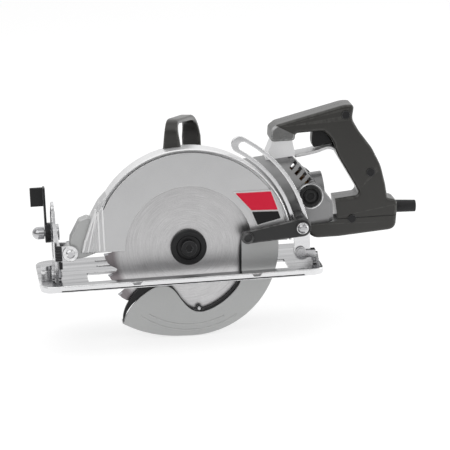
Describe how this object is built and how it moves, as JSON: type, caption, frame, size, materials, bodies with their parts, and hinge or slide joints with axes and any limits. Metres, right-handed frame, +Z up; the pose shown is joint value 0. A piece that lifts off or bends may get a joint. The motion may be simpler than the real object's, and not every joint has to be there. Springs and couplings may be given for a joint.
{
  "type": "worm drive circular saw",
  "caption": "Corded worm drive circular saw with a sprung lower guard, a loop front handle, a trigger rear handle, and a foot that swings for depth and tilts for bevel.",
  "frame": {"origin": "on the sole of the foot, below the spindle axis, in the plane of the blade", "axes": "+X to the rear handle, -Y to the blade side, +Z up from the sole"},
  "size_m": [0.4248, 0.155, 0.237],
  "materials": {
    "cast_metal": "satin cast",
    "cast_dark": "satin cast",
    "bright_steel": "bright plated",
    "blade_steel": "brushed",
    "plain_steel": "satin",
    "black_steel": "satin black",
    "grey_plastic": "matte",
    "black_plastic": "matte",
    "black_rubber": "matte",
    "red_plate": "gloss",
    "black_plate": "gloss",
    "bronze": "machined",
    "copper": "wound",
    "iron": "machined"
  },
  "bodies": {
    "saw_body": {"gear_housing": "cast_metal", "gear_cover": "cast_metal", "oil_plug": "black_plastic", "motor_housing": "cast_metal", "motor_cap": "cast_metal", "upper_guard": "cast_metal", "badge_top": "red_plate", "badge_low": "black_plate", "front_handle": "grey_plastic", "handle_post": "cast_metal", "rear_handle_near": "grey_plastic", "rear_handle_far": "grey_plastic", "finger_bar": "grey_plastic", "switch_body": "black_plastic", "cord_boot": "black_rubber", "field_core": "iron", "field_coils": "copper", "brush_tubes": "bronze", "brush_caps": "black_plastic", "carbon_brushes": "black_plastic", "brush_springs": "plain_steel", "spindle_bearings": "plain_steel", "shaft_bearings": "plain_steel", "guard_spring": "plain_steel", "guard_ring": "plain_steel", "guard_screws": "plain_steel", "cover_screws": "plain_steel", "handle_screws": "plain_steel", "depth_bolt": "bright_steel"},
    "spindle_set": {"spindle": "plain_steel", "worm_wheel": "bronze", "inner_flange": "plain_steel", "saw_blade": "blade_steel", "outer_washer": "black_steel", "blade_bolt": "black_steel"},
    "armature_set": {"armature_shaft": "plain_steel", "worm": "plain_steel", "armature_core": "iron", "armature_windings": "copper", "commutator": "bronze", "cooling_fan": "black_plastic"},
    "lower_guard_set": {"lower_guard": "cast_dark"},
    "depth_frame": {"bevel_bracket": "bright_steel", "depth_pivot_pin": "plain_steel", "rear_bracket": "bright_steel", "link_pin": "plain_steel", "bevel_pins": "plain_steel", "bevel_bolt": "bright_steel"},
    "foot": {"foot_plate": "bright_steel", "quadrant": "bright_steel", "rear_hinge": "bright_steel"},
    "fence_knob": {"fence_screw": "bright_steel"},
    "bevel_lock": {"bevel_lever": "black_steel"},
    "depth_lock": {"depth_lever": "black_steel"},
    "link": {"depth_link": "bright_steel"},
    "trigger_set": {"trigger": "black_plastic"}
  },
  "joints": [
    {"name": "blade_spin", "type": "hinge", "parent": "saw_body", "child": "spindle_set", "pos_m": [0, 0, 0.03], "axis": [0, 1, 0], "continuous": true},
    {"name": "motor_spin", "type": "hinge", "parent": "saw_body", "child": "armature_set", "pos_m": [-0.0027, 0.06, 0.06088], "axis": [0.9962, 0, 0.0872], "continuous": true},
    {"name": "guard_swing", "type": "hinge", "parent": "saw_body", "child": "lower_guard_set", "pos_m": [0, 0, 0.03], "axis": [0, -1, 0], "range_deg": [0, 110], "stiffness_Nm_per_rad": 0.15, "springref_deg": -45.84},
    {"name": "depth_swing", "type": "hinge", "parent": "saw_body", "child": "depth_frame", "pos_m": [-0.128, 0, 0.034], "axis": [0, 1, 0], "range_deg": [0, 24]},
    {"name": "link_swing", "type": "hinge", "parent": "depth_frame", "child": "link", "pos_m": [0.121, -0.004, 0.017], "axis": [0, 1, 0], "range_deg": [0, 14.4]},
    {"name": "bevel_swing", "type": "hinge", "parent": "depth_frame", "child": "foot", "pos_m": [0, 0, 0.009], "axis": [-1, 0, 0], "range_deg": [0, 45]},
    {"name": "bevel_lock_turn", "type": "hinge", "parent": "depth_frame", "child": "bevel_lock", "pos_m": [-0.148, 0.06181, 0.04186], "axis": [-1, 0, 0], "range_deg": [0, 50]},
    {"name": "depth_lock_turn", "type": "hinge", "parent": "saw_body", "child": "depth_lock", "pos_m": [0.122, -0.018, 0.047], "axis": [0, 1, 0], "range_deg": [0, 30]},
    {"name": "fence_screw_turn", "type": "hinge", "parent": "foot", "child": "fence_knob", "pos_m": [-0.153, 0.03, 0.01], "axis": [0, 0, 1], "range_deg": [0, 270]},
    {"name": "trigger_pull", "type": "slide", "parent": "saw_body", "child": "trigger_set", "axis": [1, 0, 0], "range_m": [0, 0.005], "stiffness_N_per_m": 900, "springref_m": -0.004}
  ],
  "couplings": [
    {"joint": "motor_spin", "follows": "blade_spin", "ratio": -4.6667},
    {"joint": "link_swing", "follows": "depth_swing", "ratio": 0.6}
  ]
}
